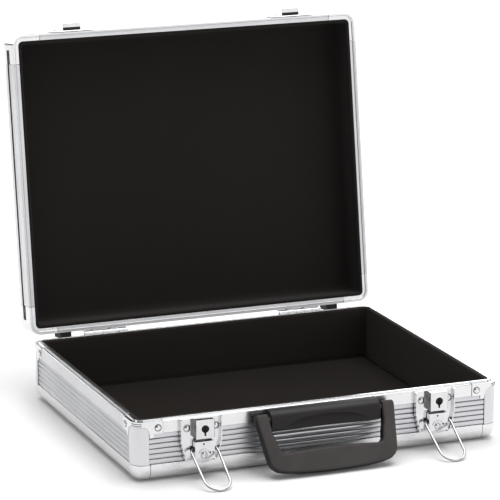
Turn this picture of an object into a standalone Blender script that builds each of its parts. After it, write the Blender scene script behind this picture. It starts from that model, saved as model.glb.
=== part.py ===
"""Aluminium poker chip case, standing open: base, hinged lid, handle and two key-locked draw latches."""
import math

import bmesh
import bpy
from mathutils import Matrix, Vector

MM = 0.001
GAP = 0.3 * MM
OVERLAP = 0.1 * MM

# Outer contour shared by the base and the lid
CASE_WIDTH = 340 * MM
CASE_DEPTH = 276 * MM
CORNER_RADIUS = 10 * MM
CORNER_STEPS = 6
SHEET = 2.2 * MM
RIM_THICKNESS = 5.6 * MM
TONGUE_OUTER = 3.1 * MM
TONGUE_HEIGHT = 1.2 * MM

# Base, heights above the underside
PANEL_THICKNESS = 3 * MM
EDGE_TOP = 15.2 * MM
RIM_BOTTOM = 42.2 * MM
BASE_HEIGHT = 53.3 * MM
POST_TOP = 48.5 * MM
POST_LEG = 13.3 * MM
CAP_LEG = 14.5 * MM
SIDE_RECESS = 0.8 * MM
GROOVE_COUNT = 5
GROOVE_DEPTH = 0.7 * MM
GROOVE_HALF_WIDTH = 0.6 * MM
BRACKET_LEG = 25.7 * MM
BRACKET_PROUD = 0.4 * MM
BRACKET_RIVET_FROM_CORNER = 21.4 * MM
BRACKET_RIVET_HEIGHT = 47.4 * MM
NOTCH_START = 8 * MM
NOTCH_BOTTOM = 41.2 * MM

# Lining
LINING_INSET = 5.9 * MM
LINING_THICKNESS = 2.5 * MM
LINING_BOTTOM = 4 * MM
LINING_TOP = 53.9 * MM
MAT_INSET = 10 * MM
MAT_THICKNESS = 2.8 * MM

# Lid, heights with the lid closed
LID_BOTTOM = BASE_HEIGHT + GAP
LID_TOP = 89.5 * MM
LID_RIM_TOP = 64.6 * MM
LID_EDGE_BOTTOM = 74.3 * MM
LID_CORNER_LEG = 26.2 * MM
LID_CORNER_RECESS = 1.3 * MM
LID_LINING_TOP = 85.2 * MM
LID_OPEN_ANGLE = math.radians(98.6)

# Hinges
HINGE_X = 97.5 * MM
HINGE_LENGTH = 42 * MM
HINGE_STANDOFF = 3.5 * MM
HINGE_AXIS_Z = BASE_HEIGHT + GAP / 2
LEAF_THICKNESS = 1.2 * MM
LEAF_REACH = 17.4 * MM
LEAF_CLEAR = 3 * MM
KNUCKLE_COUNT = 5
KNUCKLE_GAP = 0.4 * MM
KNUCKLE_RADIUS = 2.4 * MM
PIN_RADIUS = 1.05 * MM
PIN_CLEARANCE = 0.3 * MM

# Rubber feet on the hinge side
FOOT_X = 134.2 * MM
FOOT_WIDTH = 11 * MM
FOOT_LENGTH = 18 * MM
FOOT_REACH = 6.6 * MM

# Latches
LATCH_X = 109 * MM
LATCH_TOP = 52.6 * MM
LATCH_BOTTOM = 15.5 * MM
LATCH_BEND = 33 * MM
LATCH_LEFT = -20.5 * MM
LATCH_RIGHT = 16.8 * MM
LATCH_TAPER = 4 * MM
PLATE_FACE = 1.3 * MM
FLANGE_REACH = 4.8 * MM
LOCK_HALF_WIDTH = 8.3 * MM
LOCK_BOTTOM = 35.3 * MM
LOCK_TOP = 52.3 * MM
LOCK_FACE = 8.3 * MM
RIVET_Z = 44.3 * MM
KEYHOLE_Z = 44 * MM
KEYHOLE_RADIUS = 3.5 * MM
BARREL_RADIUS = 3.15 * MM
LEVER_AXIS_OUT = 3.8 * MM
LEVER_AXIS_Z = 31.3 * MM
LEVER_PIN_RADIUS = 1.0 * MM
LEVER_HALF_WIDTH = 8.9 * MM
LEVER_TOP = 32.8 * MM
LUG_REACH = 5.5 * MM
LUG_BOTTOM = 28.3 * MM
LUG_TOP = 32.7 * MM
LEVER_BOTTOM = 16 * MM
LEVER_BACK = 6.2 * MM
LEVER_FACE = 7.3 * MM
EAR_THICKNESS = 1.3 * MM
BAIL_AXIS_OUT = 4.6 * MM
BAIL_AXIS_Z = 25.3 * MM
BAIL_RADIUS = 1.15 * MM
BAIL_LENGTH = 47 * MM
BAIL_HALF_WIDTH = 11.3 * MM
BAIL_PIVOT_X = 11.9 * MM
BAIL_LEAN = math.radians(59.4)

# Strikes on the lid
STRIKE_HALF_WIDTH = 20.4 * MM
STRIKE_BOTTOM = 57.5 * MM
STRIKE_TOP = 78.5 * MM
HOOK_HALF_WIDTH = 8.4 * MM
HOOK_SHELF_TOP = 66 * MM
HOOK_TIP = 72 * MM
HOOK_REACH = 9.5 * MM

# Handle
HUB_HALF_LENGTH = 50.4 * MM
HUB_BOTTOM = 35.5 * MM
HUB_TOP = 52.9 * MM
HANDLE_AXIS_OUT = 9 * MM
HANDLE_AXIS_Z = 45.5 * MM
HANDLE_PIN_RADIUS = 3 * MM
HANDLE_THICKNESS = 9 * MM
HANDLE_LEAN = math.radians(30)

FRONT = -CASE_DEPTH / 2
BACK = CASE_DEPTH / 2
SIDES = {"front": (0, -1), "back": (0, 1), "left": (-1, 0), "right": (1, 0)}
CORNERS = {"front_left": (-1, -1), "front_right": (1, -1), "back_left": (-1, 1), "back_right": (1, 1)}
HANDS = {"left": -1, "right": 1}

ALUMINIUM = ((0.78, 0.78, 0.80), 0.34, 1.0)
BRIGHT_ALUMINIUM = ((0.86, 0.86, 0.87), 0.26, 1.0)
RIBBED_ALUMINIUM = ((0.72, 0.72, 0.75), 0.38, 1.0)
CHROME = ((0.88, 0.88, 0.89), 0.10, 1.0)
STEEL = ((0.62, 0.62, 0.63), 0.25, 1.0)
DARK_STEEL = ((0.06, 0.06, 0.06), 0.45, 1.0)
LINING = ((0.016, 0.015, 0.014), 0.92, 0.0)
PLASTIC = ((0.055, 0.050, 0.052), 0.48, 0.0)
RUBBER = ((0.02, 0.02, 0.02), 0.80, 0.0)

for old in list(bpy.data.objects):
    bpy.data.objects.remove(old, do_unlink=True)


def paint(obj, look):
    """Give an object its own material."""
    colour, roughness, metallic = look
    mat = bpy.data.materials.new(obj.name)
    mat.use_nodes = True
    shader = mat.node_tree.nodes["Principled BSDF"]
    shader.inputs["Base Color"].default_value = (*colour, 1.0)
    shader.inputs["Roughness"].default_value = roughness
    shader.inputs["Metallic"].default_value = metallic
    obj.data.materials.clear()
    obj.data.materials.append(mat)


def to_object(name, bm, smooth=False):
    """Turn a bmesh into a named object with outward normals."""
    bmesh.ops.remove_doubles(bm, verts=bm.verts, dist=0.00001)
    bmesh.ops.recalc_face_normals(bm, faces=bm.faces)
    mesh = bpy.data.meshes.new(name)
    bm.to_mesh(mesh)
    bm.free()
    obj = bpy.data.objects.new(name, mesh)
    bpy.context.scene.collection.objects.link(obj)
    if smooth:
        mesh.shade_smooth()
        mesh.set_sharp_from_angle(angle=math.radians(32))
    return obj


def settle(obj):
    """Apply the object's modifiers to its mesh."""
    graph = bpy.context.evaluated_depsgraph_get()
    mesh = bpy.data.meshes.new_from_object(obj.evaluated_get(graph))
    obj.modifiers.clear()
    obj.data = mesh


def combine(obj, others, operation):
    """Join or cut an object with others, which are used up."""
    for other in others:
        mod = obj.modifiers.new("combine", "BOOLEAN")
        mod.operation = operation
        mod.solver = "EXACT"
        mod.object = other
        settle(obj)
        bpy.data.objects.remove(other, do_unlink=True)


def soften(obj, width, segments=2, angle=40):
    """Round the object's edges."""
    mod = obj.modifiers.new("soften", "BEVEL")
    mod.width = width
    mod.segments = segments
    mod.limit_method = "ANGLE"
    mod.angle_limit = math.radians(angle)
    settle(obj)
    obj.data.shade_smooth()
    obj.data.set_sharp_from_angle(angle=math.radians(32))


def box(name, low, high):
    """Rectangular block between two corners."""
    bm = bmesh.new()
    bmesh.ops.create_cube(bm, size=1)
    centre = (Vector(low) + Vector(high)) / 2
    span = Vector(high) - Vector(low)
    bmesh.ops.transform(bm, matrix=Matrix.Translation(centre) @ Matrix.Diagonal((*span, 1)), verts=bm.verts)
    return to_object(name, bm)


def prism(name, outline, vector, smooth=False):
    """Flat outline extruded along a vector."""
    bm = bmesh.new()
    face = bm.faces.new([bm.verts.new(point) for point in outline])
    grown = bmesh.ops.extrude_face_region(bm, geom=[face])
    verts = [item for item in grown["geom"] if isinstance(item, bmesh.types.BMVert)]
    bmesh.ops.translate(bm, vec=vector, verts=verts)
    return to_object(name, bm, smooth)


def rod(name, start, end, radius, segments=24):
    """Round bar between two points."""
    start, end = Vector(start), Vector(end)
    bm = bmesh.new()
    length = (end - start).length
    bmesh.ops.create_cone(bm, cap_ends=True, segments=segments, radius1=radius, radius2=radius, depth=length)
    turn = (end - start).to_track_quat("Z", "Y").to_matrix().to_4x4()
    bmesh.ops.transform(bm, matrix=Matrix.Translation((start + end) / 2) @ turn, verts=bm.verts)
    return to_object(name, bm, True)


def dome(name, centre, normal, radius, height):
    """Domed rivet head standing on a surface, sunk in by the overlap."""
    bm = bmesh.new()
    bmesh.ops.create_uvsphere(bm, u_segments=14, v_segments=8, radius=1)
    everything = [*bm.verts, *bm.edges, *bm.faces]
    foot = (0, 0, -OVERLAP / height)
    cut = bmesh.ops.bisect_plane(bm, geom=everything, plane_co=foot, plane_no=(0, 0, 1), clear_inner=True)
    rim = [item for item in cut["geom_cut"] if isinstance(item, bmesh.types.BMEdge)]
    bmesh.ops.edgeloop_fill(bm, edges=rim)
    turn = Vector(normal).to_track_quat("Z", "Y").to_matrix().to_4x4()
    shape = Matrix.Translation(centre) @ turn @ Matrix.Diagonal((radius, radius, height, 1))
    bmesh.ops.transform(bm, matrix=shape, verts=bm.verts)
    return to_object(name, bm, True)


def ellipsoid(name, centre, radii):
    """Closed ellipsoid."""
    bm = bmesh.new()
    bmesh.ops.create_uvsphere(bm, u_segments=28, v_segments=12, radius=1)
    shape = Matrix.Translation(centre) @ Matrix.Diagonal((*radii, 1))
    bmesh.ops.transform(bm, matrix=shape, verts=bm.verts)
    return to_object(name, bm, True)


def arc(centre, radius, start, end, steps):
    """Points of an arc in a plane, angles in degrees."""
    points = []
    for step in range(steps + 1):
        angle = math.radians(start + (end - start) * step / steps)
        points.append((centre[0] + radius * math.cos(angle), centre[1] + radius * math.sin(angle)))
    return points


def rounded_outline(half_x, half_y, radius, z):
    """Rounded rectangle around the origin."""
    points = []
    for sx, sy, start in ((1, 1, 0), (-1, 1, 90), (-1, -1, 180), (1, -1, 270)):
        centre = (sx * (half_x - radius), sy * (half_y - radius))
        points += [(x, y, z) for x, y in arc(centre, radius, start, start + 90, CORNER_STEPS)]
    return points


def slab(name, inset, radius, bottom, top):
    """Rounded plate that follows the case contour at an inset."""
    outline = rounded_outline(CASE_WIDTH / 2 - inset, CASE_DEPTH / 2 - inset, radius, bottom)
    return prism(name, outline, (0, 0, top - bottom), True)


def side_bar(name, side, profile, from_corner):
    """Profile of (inward, height) points run along one side between the corners."""
    across, along = (CASE_DEPTH, CASE_WIDTH) if side in ("front", "back") else (CASE_WIDTH, CASE_DEPTH)
    sx, sy = SIDES[side]
    half = along / 2 - from_corner
    if sx == 0:
        outline = [(-half, sy * (across / 2 - d), z) for d, z in profile]
        return prism(name, outline, (2 * half, 0, 0), True)
    outline = [(sx * (across / 2 - d), -half, z) for d, z in profile]
    return prism(name, outline, (0, 2 * half, 0), True)


def corner_bar(name, corner, profile, leg):
    """Profile of (inward, height) points run round one corner, with a leg along each side."""
    sx, sy = CORNERS[corner]
    radius = CORNER_RADIUS
    bm = bmesh.new()
    face = bm.faces.new([bm.verts.new((leg, d, z)) for d, z in profile])
    pivot = Matrix.Translation((radius, radius, 0))
    step = pivot @ Matrix.Rotation(-math.radians(90 / CORNER_STEPS), 4, "Z") @ pivot.inverted()
    run = radius - leg
    moves = [Matrix.Translation((run, 0, 0))] + [step] * CORNER_STEPS + [Matrix.Translation((0, -run, 0))]
    for move in moves:
        grown = bmesh.ops.extrude_face_region(bm, geom=[face, *face.edges, *face.verts])
        face = next(item for item in grown["geom"] if isinstance(item, bmesh.types.BMFace))
        bmesh.ops.transform(bm, matrix=move, verts=face.verts)
    move = Matrix.Translation((sx * CASE_WIDTH / 2, sy * CASE_DEPTH / 2, 0))
    place = move @ Matrix.Diagonal((-sx, -sy, 1, 1))
    bmesh.ops.transform(bm, matrix=place, verts=bm.verts)
    return to_object(name, bm, True)


def corner_box(name, corner, low, high):
    """Block given by distances inward from the two faces of one corner."""
    sx, sy = CORNERS[corner]
    xs = sorted(sx * (CASE_WIDTH / 2 - value) for value in (low[0], high[0]))
    ys = sorted(sy * (CASE_DEPTH / 2 - value) for value in (low[1], high[1]))
    return box(name, (xs[0], ys[0], low[2]), (xs[1], ys[1], high[2]))


def leg_prisms(name, corner, outline):
    """Outline of (distance from the corner, height) points, as a block through the sheet of each leg."""
    sx, sy = CORNERS[corner]
    corner_x, corner_y = sx * CASE_WIDTH / 2, sy * CASE_DEPTH / 2
    through = 4 * MM
    along_x = [(corner_x - sx * d, corner_y + sy * MM, z) for d, z in outline]
    along_y = [(corner_x + sx * MM, corner_y - sy * d, z) for d, z in outline]
    return [
        prism(name + "_x", along_x, (0, -sy * through, 0)),
        prism(name + "_y", along_y, (-sx * through, 0, 0)),
    ]


def axis_empty(name, location, angle):
    """Empty on a joint axis, turned to the rest pose."""
    empty = bpy.data.objects.new(name, None)
    empty.location = location
    empty.rotation_euler = (angle, 0, 0)
    bpy.context.scene.collection.objects.link(empty)
    return empty


def hang(obj, empty):
    """Carry a piece modelled in its straight position on a joint empty."""
    obj.data.transform(Matrix.Translation(-empty.location))
    obj.parent = empty


# Base shell -------------------------------------------------------------------------------------

edge_outer = arc((CORNER_RADIUS, CORNER_RADIUS), CORNER_RADIUS, 180, 270, CORNER_STEPS)
edge_inner = arc((CORNER_RADIUS, CORNER_RADIUS), CORNER_RADIUS - SHEET, 270, 180, CORNER_STEPS)
edge_profile = [(0, EDGE_TOP)] + edge_outer + edge_inner + [(SHEET, EDGE_TOP)]
cap_profile = [(0, EDGE_TOP - GAP)] + edge_outer + edge_inner + [(SHEET, EDGE_TOP - GAP)]
post_profile = [(0, EDGE_TOP), (0, POST_TOP), (SHEET, POST_TOP), (SHEET, EDGE_TOP)]

tongue_top = BASE_HEIGHT + TONGUE_HEIGHT
tongue_profile = [(TONGUE_OUTER, BASE_HEIGHT), (TONGUE_OUTER, tongue_top), (RIM_THICKNESS, tongue_top)]
rim_low = [(RIM_THICKNESS, RIM_BOTTOM + 2.3 * MM), (RIM_THICKNESS - 1.8 * MM, RIM_BOTTOM)]
rim_profile = [(0, RIM_BOTTOM), (0, BASE_HEIGHT - 0.6 * MM), (0.6 * MM, BASE_HEIGHT)]
rim_profile += tongue_profile + rim_low
bracket_profile = [(-BRACKET_PROUD, RIM_BOTTOM), (-BRACKET_PROUD, BASE_HEIGHT)] + tongue_profile
bracket_profile += [(RIM_THICKNESS, RIM_BOTTOM)]

notch_end = POST_LEG + GAP
curve_start = NOTCH_START - OVERLAP
curve_height = POST_TOP + GAP - OVERLAP - RIM_BOTTOM
notch_curve = []
for step in range(CORNER_STEPS + 1):
    turn = math.radians(90 * step / CORNER_STEPS)
    d = curve_start + (notch_end - curve_start) * math.cos(turn)
    notch_curve.append((d, RIM_BOTTOM + curve_height * math.sin(turn)))
under_curve = [(curve_start, NOTCH_BOTTOM), (notch_end, NOTCH_BOTTOM)] + notch_curve
over_curve = [(notch_end + MM, RIM_BOTTOM - GAP)] + [(d, z - GAP) for d, z in notch_curve]
over_curve += [(curve_start, POST_TOP + MM), (notch_end + MM, POST_TOP + MM)]

panel_low = EDGE_TOP + GAP
panel_high = RIM_BOTTOM - GAP
panel_profile = [(SIDE_RECESS, panel_low)]
for index in range(GROOVE_COUNT):
    z = EDGE_TOP + (RIM_BOTTOM - EDGE_TOP) * (index + 1) / (GROOVE_COUNT + 1)
    panel_profile.append((SIDE_RECESS, z - GROOVE_HALF_WIDTH))
    panel_profile.append((SIDE_RECESS + GROOVE_DEPTH, z))
    panel_profile.append((SIDE_RECESS, z + GROOVE_HALF_WIDTH))
panel_profile.append((SIDE_RECESS, panel_high))
panel_profile += [(SIDE_RECESS + PANEL_THICKNESS, panel_high), (SIDE_RECESS + PANEL_THICKNESS, panel_low)]

paint(slab("bottom_panel", CORNER_RADIUS + GAP, 1 * MM, 0, PANEL_THICKNESS), ALUMINIUM)
for side in SIDES:
    paint(side_bar("base_edge_" + side, side, edge_profile, CAP_LEG + GAP), ALUMINIUM)
    paint(side_bar("base_panel_" + side, side, panel_profile, POST_LEG + GAP), RIBBED_ALUMINIUM)
    paint(side_bar("base_rim_" + side, side, rim_profile, BRACKET_LEG + GAP), BRIGHT_ALUMINIUM)

for corner, (sx, sy) in CORNERS.items():
    paint(corner_bar("base_cap_" + corner, corner, cap_profile, CAP_LEG), BRIGHT_ALUMINIUM)
    post = corner_bar("base_post_" + corner, corner, post_profile, POST_LEG)
    combine(post, leg_prisms("post_curve", corner, over_curve), "DIFFERENCE")
    paint(post, ALUMINIUM)
    bracket = corner_bar("base_bracket_" + corner, corner, bracket_profile, BRACKET_LEG)
    inner = notch_end
    notch_top = (NOTCH_START, NOTCH_START, POST_TOP + GAP)
    notches = [corner_box("notch", corner, (-MM, -MM, NOTCH_BOTTOM), notch_top)]
    notches += leg_prisms("notch_curve", corner, under_curve)
    combine(bracket, notches, "DIFFERENCE")
    lobe_start, lobe_end = inner + 0.2 * MM, inner + 4 * MM
    lobe_low, lobe_high = RIM_BOTTOM - 3.2 * MM, RIM_BOTTOM + OVERLAP
    lobe_front, lobe_back = OVERLAP - BRACKET_PROUD, SIDE_RECESS - GAP
    extras = [
        corner_box("lobe_x", corner, (lobe_start, lobe_front, lobe_low), (lobe_end, lobe_back, lobe_high)),
        corner_box("lobe_y", corner, (lobe_front, lobe_start, lobe_low), (lobe_back, lobe_end, lobe_high)),
    ]
    x = sx * (CASE_WIDTH / 2 - BRACKET_RIVET_FROM_CORNER)
    y = sy * (CASE_DEPTH / 2 - BRACKET_RIVET_FROM_CORNER)
    face_x = sx * (CASE_WIDTH / 2 + BRACKET_PROUD)
    face_y = sy * (CASE_DEPTH / 2 + BRACKET_PROUD)
    extras.append(dome("rivet_x", (x, face_y, BRACKET_RIVET_HEIGHT), (0, sy, 0), 2.8 * MM, 1.3 * MM))
    extras.append(dome("rivet_y", (face_x, y, BRACKET_RIVET_HEIGHT), (sx, 0, 0), 2.8 * MM, 1.3 * MM))
    combine(bracket, extras, "UNION")
    paint(bracket, BRIGHT_ALUMINIUM)

# Lining -----------------------------------------------------------------------------------------

lining_radius = CORNER_RADIUS - LINING_INSET
inner_inset = LINING_INSET + LINING_THICKNESS
inner_radius = CORNER_RADIUS - inner_inset
wall_lining = slab("wall_lining", LINING_INSET, lining_radius, LINING_BOTTOM, LINING_TOP)
hollow = slab("hollow", inner_inset, inner_radius, LINING_BOTTOM - MM, LINING_TOP + MM)
combine(wall_lining, [hollow], "DIFFERENCE")
paint(wall_lining, LINING)
mat_bottom = PANEL_THICKNESS + GAP
paint(slab("floor_mat", MAT_INSET, 2 * MM, mat_bottom, mat_bottom + MAT_THICKNESS), LINING)

# Lid --------------------------------------------------------------------------------------------

hinge_axis = (0, BACK + HINGE_STANDOFF, HINGE_AXIS_Z)
lid_axis = axis_empty("lid_axis", hinge_axis, -LID_OPEN_ANGLE)

turn_z = LID_TOP - CORNER_RADIUS
lid_outer = arc((CORNER_RADIUS, turn_z), CORNER_RADIUS, 180, 90, CORNER_STEPS)
lid_inner = arc((CORNER_RADIUS, turn_z), CORNER_RADIUS - SHEET, 90, 180, CORNER_STEPS)
lid_rim = [(RIM_THICKNESS, LID_RIM_TOP), (RIM_THICKNESS, tongue_top + GAP)]
lid_rim += [(TONGUE_OUTER - GAP, tongue_top + GAP), (TONGUE_OUTER - GAP, LID_BOTTOM)]
wall = SIDE_RECESS + 2 * MM
lid_side_profile = [(0, LID_BOTTOM), (0, LID_RIM_TOP), (SIDE_RECESS, LID_RIM_TOP + 0.4 * MM)]
lid_side_profile += [(SIDE_RECESS, LID_EDGE_BOTTOM - 0.4 * MM), (0, LID_EDGE_BOTTOM)] + lid_outer + lid_inner
lid_side_profile += [(SHEET, turn_z - 2 * MM), (wall, turn_z - 3 * MM), (wall, LID_RIM_TOP + 2 * MM)]
lid_side_profile += lid_rim
lid_corner_profile = [(0, LID_BOTTOM)] + lid_outer + lid_inner + [(SHEET, LID_RIM_TOP + 2 * MM)] + lid_rim

lid_pieces = []
for side in SIDES:
    piece = side_bar("lid_side_" + side, side, lid_side_profile, LID_CORNER_LEG + GAP)
    paint(piece, ALUMINIUM)
    lid_pieces.append(piece)
low, high = LID_RIM_TOP + 0.4 * MM, LID_EDGE_BOTTOM - 0.4 * MM
far = LID_CORNER_LEG + MM
for corner in CORNERS:
    piece = corner_bar("lid_corner_" + corner, corner, lid_corner_profile, LID_CORNER_LEG)
    recesses = [
        corner_box("recess_x", corner, (POST_LEG, -MM, low), (far, LID_CORNER_RECESS, high)),
        corner_box("recess_y", corner, (-MM, POST_LEG, low), (LID_CORNER_RECESS, far, high)),
    ]
    combine(piece, recesses, "DIFFERENCE")
    paint(piece, BRIGHT_ALUMINIUM)
    lid_pieces.append(piece)
lid_panel = slab("lid_panel", CORNER_RADIUS + GAP, 1 * MM, LID_TOP - PANEL_THICKNESS, LID_TOP)
paint(lid_panel, ALUMINIUM)
lid_lining = slab("lid_lining", LINING_INSET, lining_radius, tongue_top + 2 * GAP, LID_LINING_TOP)
lid_hollow = slab("lid_hollow", inner_inset, inner_radius, BASE_HEIGHT, LID_LINING_TOP - LINING_THICKNESS)
combine(lid_lining, [lid_hollow], "DIFFERENCE")
paint(lid_lining, LINING)
lid_pieces += [lid_panel, lid_lining]

# Strikes: a plate on the lid front with a hook for the wire loop
for hand, sx in HANDS.items():
    x = sx * LATCH_X
    near, far = FRONT - GAP, FRONT - GAP - LEAF_THICKNESS
    strike = box(
        "strike_" + hand,
        (x - STRIKE_HALF_WIDTH, far, STRIKE_BOTTOM),
        (x + STRIKE_HALF_WIDTH, near, STRIKE_TOP),
    )
    soften(strike, 0.4 * MM, 1)
    tip = FRONT - HOOK_REACH
    shelf_low = HOOK_SHELF_TOP - LEAF_THICKNESS
    hook_outline = [
        (x - HOOK_HALF_WIDTH, far + OVERLAP, shelf_low),
        (x - HOOK_HALF_WIDTH, tip + 1.5 * MM, shelf_low),
        (x - HOOK_HALF_WIDTH, tip, shelf_low + 1.5 * MM),
        (x - HOOK_HALF_WIDTH, tip, HOOK_TIP),
        (x - HOOK_HALF_WIDTH, tip + LEAF_THICKNESS, HOOK_TIP),
        (x - HOOK_HALF_WIDTH, tip + LEAF_THICKNESS, HOOK_SHELF_TOP),
        (x - HOOK_HALF_WIDTH, far + OVERLAP, HOOK_SHELF_TOP),
    ]
    hook = prism("hook", hook_outline, (2 * HOOK_HALF_WIDTH, 0, 0))
    heads = []
    for offset in (-14.5 * MM, 14.5 * MM):
        heads.append(dome("head", (x + offset, far, 68 * MM), (0, -1, 0), 2.6 * MM, 1.2 * MM))
    combine(strike, [hook] + heads, "UNION")
    paint(strike, CHROME)
    lid_pieces.append(strike)

# Feet on the hinge side of the base and the lid
foot_low = 20 * MM
lid_foot_low = 60.5 * MM
for hand, sx in HANDS.items():
    x = sx * FOOT_X
    half = FOOT_WIDTH / 2
    base_foot = box(
        "base_foot_" + hand,
        (x - half, BACK - SIDE_RECESS + GAP, foot_low),
        (x + half, BACK + FOOT_REACH, foot_low + FOOT_LENGTH),
    )
    lid_foot = box(
        "lid_foot_" + hand,
        (x - half, BACK + GAP, lid_foot_low),
        (x + half, BACK + FOOT_REACH, lid_foot_low + FOOT_LENGTH),
    )
    for foot in (base_foot, lid_foot):
        soften(foot, 0.8 * MM)
        paint(foot, RUBBER)
    lid_pieces.append(lid_foot)

# Hinges: two leaves with interleaved knuckles on one pin
pitch = (HINGE_LENGTH + KNUCKLE_GAP) / KNUCKLE_COUNT
bore = PIN_RADIUS + PIN_CLEARANCE
for hand, sx in HANDS.items():
    start = sx * HINGE_X - HINGE_LENGTH / 2
    end = start + HINGE_LENGTH
    near, far = BACK + GAP, BACK + GAP + LEAF_THICKNESS
    axis_y, axis_z = BACK + HINGE_STANDOFF, HINGE_AXIS_Z
    for part, way in (("base", -1), ("lid", 1)):
        heights = sorted((axis_z + way * LEAF_CLEAR, axis_z + way * LEAF_REACH))
        leaf = box("hinge_" + part + "_leaf_" + hand, (start, near, heights[0]), (end, far, heights[1]))
        joins = []
        for index in range(0 if part == "base" else 1, KNUCKLE_COUNT, 2):
            left = start + index * pitch
            right = left + pitch - KNUCKLE_GAP
            zs = sorted((axis_z, axis_z + way * (LEAF_CLEAR + OVERLAP)))
            joins.append(box("web", (left, near, zs[0]), (right, far + 0.3 * MM, zs[1])))
            joins.append(rod("knuckle", (left, axis_y, axis_z), (right, axis_y, axis_z), KNUCKLE_RADIUS))
        for offset in (-13 * MM, 13 * MM):
            spot = (sx * HINGE_X + offset, far, axis_z + way * 11 * MM)
            joins.append(dome("head", spot, (0, 1, 0), 2.2 * MM, 1 * MM))
        combine(leaf, joins, "UNION")
        drill = rod("drill", (start - MM, axis_y, axis_z), (end + MM, axis_y, axis_z), bore, 20)
        combine(leaf, [drill], "DIFFERENCE")
        paint(leaf, CHROME)
        if part == "lid":
            lid_pieces.append(leaf)
    reach = 0.5 * MM
    pin_start = (start - reach, axis_y, axis_z)
    pin_end = (end + reach, axis_y, axis_z)
    pin = rod("hinge_pin_" + hand, pin_start, pin_end, PIN_RADIUS, 16)
    paint(pin, STEEL)

for piece in lid_pieces:
    hang(piece, lid_axis)

# Handle -----------------------------------------------------------------------------------------

hub_top_arc = arc((5 * MM, HUB_TOP - 9.3 * MM), 9.3 * MM, 0, 90, 6)
hub_section = [(GAP, HUB_BOTTOM), (11.8 * MM, HUB_BOTTOM), (14.3 * MM, HUB_BOTTOM + 2.5 * MM)]
hub_section += hub_top_arc + [(GAP, HUB_TOP)]
hub_outline = [(-HUB_HALF_LENGTH, FRONT - out, z) for out, z in hub_section]
hub = prism("handle_hub", hub_outline, (2 * HUB_HALF_LENGTH, 0, 0), True)
axis_y = FRONT - HANDLE_AXIS_OUT
cuts = []
for sx in (-1, 1):
    inner_end = (sx * (HUB_HALF_LENGTH - 6 * MM), axis_y, HANDLE_AXIS_Z)
    outer_end = (sx * (HUB_HALF_LENGTH + MM), axis_y, HANDLE_AXIS_Z)
    cuts.append(rod("socket", inner_end, outer_end, HANDLE_PIN_RADIUS + GAP))
cuts.append(ellipsoid("scallop", (0, FRONT - 17 * MM, HUB_BOTTOM + MM), (43 * MM, 6.5 * MM, 13 * MM)))
combine(hub, cuts, "DIFFERENCE")
hub.data.shade_smooth()
hub.data.set_sharp_from_angle(angle=math.radians(32))
paint(hub, PLASTIC)

handle_axis = axis_empty("handle_axis", (0, axis_y, HANDLE_AXIS_Z), -HANDLE_LEAN)
outer_side = [(62.6, 5), (64.3, 3.2), (64.3, 0), (62.8, -11), (61.6, -21), (60.4, -31), (59.4, -38)]
outer_side += [(57.2, -42.2), (52.8, -45.6), (46, -47.4), (30, -49.1), (10, -49.9)]
inner_side = [(10, -29.2), (30, -29.9), (42, -30.8), (46, -30), (47.3, -27.5), (48.9, -20), (50.8, -14)]
inner_side += [(51.4, -10), (52.2, 1), (52.2, 5)]
half = [(x * MM, z * MM) for x, z in outer_side] + [(x * MM, z * MM) for x, z in inner_side]
outer_count = len(outer_side)
right_outer = half[:outer_count]
right_inner = half[outer_count:]
loop = right_outer + [(-x, z) for x, z in reversed(right_outer)]
loop += [(-x, z) for x, z in reversed(right_inner)] + right_inner
handle_back = axis_y + HANDLE_THICKNESS / 2
handle_outline = [(x, handle_back, HANDLE_AXIS_Z + z) for x, z in loop]
grip = prism("handle_grip", handle_outline, (0, -HANDLE_THICKNESS, 0))
soften(grip, 2.4 * MM, 3, 50)
pegs = []
for sx in (-1, 1):
    peg_start = (sx * (HUB_HALF_LENGTH - 5.4 * MM), axis_y, HANDLE_AXIS_Z)
    peg_end = (sx * 56 * MM, axis_y, HANDLE_AXIS_Z)
    pegs.append(rod("peg", peg_start, peg_end, HANDLE_PIN_RADIUS))
combine(grip, pegs, "UNION")
paint(grip, PLASTIC)
hang(grip, handle_axis)

# Latches ----------------------------------------------------------------------------------------

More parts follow.
